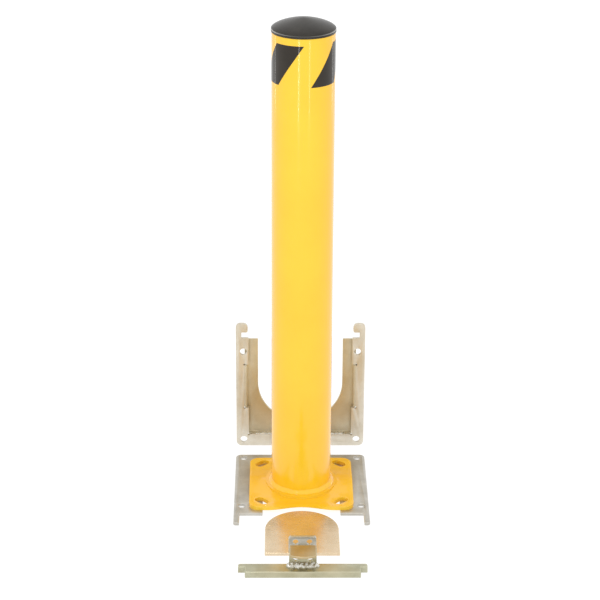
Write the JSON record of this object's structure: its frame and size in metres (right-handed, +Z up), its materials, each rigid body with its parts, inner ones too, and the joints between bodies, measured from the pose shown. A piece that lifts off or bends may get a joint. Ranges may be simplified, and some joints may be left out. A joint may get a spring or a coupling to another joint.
{
  "type": "removable bollard",
  "caption": "Removable yellow pipe bollard with a square foot, laid out beside its bolt-down ground plate, swing-down receiver, tongue plate and padlockable lock bar.",
  "frame": {"origin": "centre of the ground plate's four anchor holes, on the floor", "axes": "+Z up along the anchor holes, +Y to the rear, where the receiver stands"},
  "size_m": [0.258, 0.5492, 0.9398],
  "materials": {
    "yellow_paint": "gloss",
    "black_film": "gloss film",
    "black_cap": "satin",
    "grey_zinc": "zinc plated",
    "warm_zinc": "zinc plated, warm tint",
    "yellow_zinc": "yellow passivated zinc",
    "weld_metal": "zinc plated weld bead"
  },
  "bodies": {
    "base": {"ground_plate": "grey_zinc"},
    "post": {"post_tube": "yellow_paint", "foot_plate": "yellow_paint", "foot_weld": "yellow_paint", "hazard_stripe_1": "black_film", "hazard_stripe_2": "black_film", "hazard_stripe_3": "black_film"},
    "cap": {"dome_cap": "black_cap"},
    "receiver": {"receiver_frame": "warm_zinc", "receiver_saddle": "warm_zinc", "saddle_side_weld_left": "weld_metal", "saddle_side_weld_right": "weld_metal", "saddle_rear_weld_left": "weld_metal", "saddle_rear_weld_right": "weld_metal"},
    "tongue": {"tongue_plate": "grey_zinc", "tongue_tab": "grey_zinc", "tab_weld": "weld_metal"},
    "bar": {"lock_bar": "yellow_zinc", "hasp_web": "yellow_zinc", "hasp_hood": "yellow_zinc", "hasp_weld": "weld_metal", "hood_weld": "weld_metal"}
  },
  "joints": [
    {"name": "post_lift", "type": "slide", "parent": "base", "child": "post", "axis": [0, 0, 1], "range_m": [0, 0.3]},
    {"name": "cap_pull", "type": "slide", "parent": "post", "child": "cap", "axis": [0, 0, 1], "range_m": [0, 0.06]},
    {"name": "receiver_swing", "type": "hinge", "parent": "base", "child": "receiver", "pos_m": [0, 0.1347, -0.0229], "axis": [1, 0, 0], "range_deg": [0, 90]},
    {"name": "bar_slide", "type": "slide", "parent": "base", "child": "bar", "axis": [0, 1, 0], "range_m": [0, 0.195]},
    {"name": "tongue_slide", "type": "slide", "parent": "base", "child": "tongue", "axis": [0, 1, 0], "range_m": [0, 0.148]}
  ],
  "couplings": [
    {"joint": "tongue_slide", "follows": "bar_slide", "ratio": 0.75897}
  ]
}
